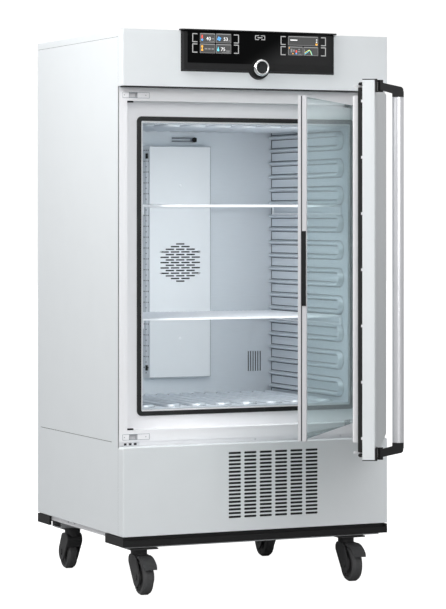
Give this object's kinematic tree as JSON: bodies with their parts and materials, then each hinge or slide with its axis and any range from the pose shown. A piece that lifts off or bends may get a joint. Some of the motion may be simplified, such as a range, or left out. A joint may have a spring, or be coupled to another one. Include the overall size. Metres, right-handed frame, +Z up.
{
  "type": "environmental test chamber",
  "caption": "Upright environmental test chamber on castors with an open insulated door, inner glass door, ribbed steel chamber with wire shelves and a dark control panel.",
  "frame": {"origin": "on the floor, under the middle of the cabinet's width and depth", "axes": "+X to the user's right when facing the front, +Y to the rear, +Z up"},
  "size_m": [0.8241, 1.3995, 1.568],
  "materials": {
    "casing": "satin",
    "frame_white": "satin",
    "sheet_steel": "brushed",
    "galvanised": "matte",
    "black_plastic": "matte",
    "grey_plastic": "satin",
    "tread": "matte",
    "soft_seal": "matte",
    "dark_glass": "polished",
    "clear_glass": "polished",
    "bright_aluminium": "satin",
    "foam": "matte"
  },
  "bodies": {
    "cabinet": {"left_side_panel": "casing", "right_side_panel": "casing", "top_cover": "casing", "rear_panel": "casing", "lower_front_panel": "casing", "control_fascia": "casing", "frame_left_post": "frame_white", "frame_right_post": "frame_white", "frame_header": "frame_white", "frame_sill": "frame_white", "chamber_gasket": "soft_seal", "strike_plates": "sheet_steel", "recess_fittings": "black_plastic", "liner_left_wall": "sheet_steel", "liner_right_wall": "sheet_steel", "liner_floor": "sheet_steel", "liner_ceiling": "sheet_steel", "liner_back_wall": "sheet_steel", "insulation_jacket": "foam", "air_duct_cover": "sheet_steel", "sensor_probes": "sheet_steel", "fan_motor": "galvanised", "door_hinge_brackets": "black_plastic", "cockpit_housing": "grey_plastic", "cockpit_glass": "dark_glass", "control_electronics": "galvanised", "base_tray": "galvanised", "castor_beams": "galvanised", "plinth": "black_plastic", "castor_plates": "galvanised", "compressor": "black_plastic", "condenser": "galvanised", "steam_generator": "sheet_steel", "mains_inlet": "black_plastic"},
    "outer_door": {"door_skin": "casing", "door_inner_panel": "casing", "door_seal": "soft_seal", "handle_mounts": "black_plastic"},
    "handle": {"handle_arms": "black_plastic", "handle_tube": "bright_aluminium"},
    "latch": {"latch_fingers": "frame_white"},
    "glass_door": {"glass_pane": "clear_glass", "glass_fittings": "frame_white", "glass_grip": "frame_white"},
    "shelf_upper": {"upper_shelf": "sheet_steel"},
    "shelf_lower": {"lower_shelf": "sheet_steel"},
    "knob_stem": {"knob_shaft": "galvanised"},
    "knob": {"control_knob": "bright_aluminium"},
    "circulation_fan": {"chamber_fan": "bright_aluminium"},
    "cooling_fan": {"condenser_fan": "black_plastic"},
    "fork_front_left": {"castor_fork_front_left": "grey_plastic"},
    "wheel_front_left": {"castor_wheel_front_left": "tread"},
    "pedal_front_left": {"brake_pedal_front_left": "grey_plastic"},
    "fork_front_right": {"castor_fork_front_right": "grey_plastic"},
    "wheel_front_right": {"castor_wheel_front_right": "tread"},
    "pedal_front_right": {"brake_pedal_front_right": "grey_plastic"},
    "fork_rear_left": {"castor_fork_rear_left": "grey_plastic"},
    "wheel_rear_left": {"castor_wheel_rear_left": "tread"},
    "fork_rear_right": {"castor_fork_rear_right": "grey_plastic"},
    "wheel_rear_right": {"castor_wheel_rear_right": "tread"}
  },
  "joints": [
    {"name": "outer_door_swing", "type": "hinge", "parent": "cabinet", "child": "outer_door", "pos_m": [0.394, -0.329, 0.909], "axis": [0, 0, 1], "range_deg": [-59.7, 30.3]},
    {"name": "glass_door_swing", "type": "hinge", "parent": "cabinet", "child": "glass_door", "pos_m": [0.374, -0.275, 0.91], "axis": [0, 0, 1], "range_deg": [-49.65, 25.25]},
    {"name": "handle_turn", "type": "hinge", "parent": "outer_door", "child": "handle", "pos_m": [0.02239, -1.02221, 0.909], "axis": [0, 0, 1], "range_deg": [-28, 0]},
    {"name": "latch_turn", "type": "hinge", "parent": "outer_door", "child": "latch", "pos_m": [0.01239, -0.98741, 0.909], "axis": [0, 0, 1], "range_deg": [-11, 0]},
    {"name": "upper_shelf_slide", "type": "slide", "parent": "cabinet", "child": "shelf_upper", "axis": [0, -1, 0], "range_m": [0, 0.08]},
    {"name": "lower_shelf_slide", "type": "slide", "parent": "cabinet", "child": "shelf_lower", "axis": [0, -1, 0], "range_m": [0, 0.08]},
    {"name": "knob_push", "type": "slide", "parent": "cabinet", "child": "knob_stem", "axis": [0, 1, 0], "range_m": [0, 0.0015], "stiffness_N_per_m": 1200},
    {"name": "knob_turn", "type": "hinge", "parent": "knob_stem", "child": "knob", "pos_m": [0, -0.3505, 1.4647], "axis": [0, -1, 0], "continuous": true},
    {"name": "circulation_fan_spin", "type": "hinge", "parent": "cabinet", "child": "circulation_fan", "pos_m": [0, 0.24, 0.9075], "axis": [0, 1, 0], "continuous": true},
    {"name": "cooling_fan_spin", "type": "hinge", "parent": "cabinet", "child": "cooling_fan", "pos_m": [0.048, -0.18, 0.2643], "axis": [0, 1, 0], "continuous": true},
    {"name": "castor_swivel_front_left", "type": "hinge", "parent": "cabinet", "child": "fork_front_left", "pos_m": [-0.345, -0.288, 0.12], "axis": [0, 0, 1], "continuous": true},
    {"name": "wheel_roll_front_left", "type": "hinge", "parent": "fork_front_left", "child": "wheel_front_left", "pos_m": [-0.34765, -0.32791, 0.05], "axis": [0.9978, -0.0663, 0], "continuous": true},
    {"name": "brake_pedal_press_front_left", "type": "hinge", "parent": "fork_front_left", "child": "pedal_front_left", "pos_m": [-0.34725, -0.32193, 0.1045], "axis": [0.9978, -0.0663, 0], "range_deg": [0, 5]},
    {"name": "castor_swivel_front_right", "type": "hinge", "parent": "cabinet", "child": "fork_front_right", "pos_m": [0.302, -0.288, 0.12], "axis": [0, 0, 1], "continuous": true},
    {"name": "wheel_roll_front_right", "type": "hinge", "parent": "fork_front_right", "child": "wheel_front_right", "pos_m": [0.29935, -0.32791, 0.05], "axis": [0.9978, -0.0663, 0], "continuous": true},
    {"name": "brake_pedal_press_front_right", "type": "hinge", "parent": "fork_front_right", "child": "pedal_front_right", "pos_m": [0.29975, -0.32193, 0.1045], "axis": [0.9978, -0.0663, 0], "range_deg": [0, 5]},
    {"name": "castor_swivel_rear_left", "type": "hinge", "parent": "cabinet", "child": "fork_rear_left", "pos_m": [-0.345, 0.221, 0.12], "axis": [0, 0, 1], "continuous": true},
    {"name": "wheel_roll_rear_left", "type": "hinge", "parent": "fork_rear_left", "child": "wheel_rear_left", "pos_m": [-0.34235, 0.26091, 0.05], "axis": [-0.9978, 0.0663, 0], "continuous": true},
    {"name": "castor_swivel_rear_right", "type": "hinge", "parent": "cabinet", "child": "fork_rear_right", "pos_m": [0.302, 0.221, 0.12], "axis": [0, 0, 1], "continuous": true},
    {"name": "wheel_roll_rear_right", "type": "hinge", "parent": "fork_rear_right", "child": "wheel_rear_right", "pos_m": [0.30465, 0.26091, 0.05], "axis": [-0.9978, 0.0663, 0], "continuous": true}
  ],
  "couplings": [
    {"joint": "glass_door_swing", "follows": "outer_door_swing", "ratio": 0.8308},
    {"joint": "latch_turn", "follows": "handle_turn", "ratio": 0.39}
  ]
}
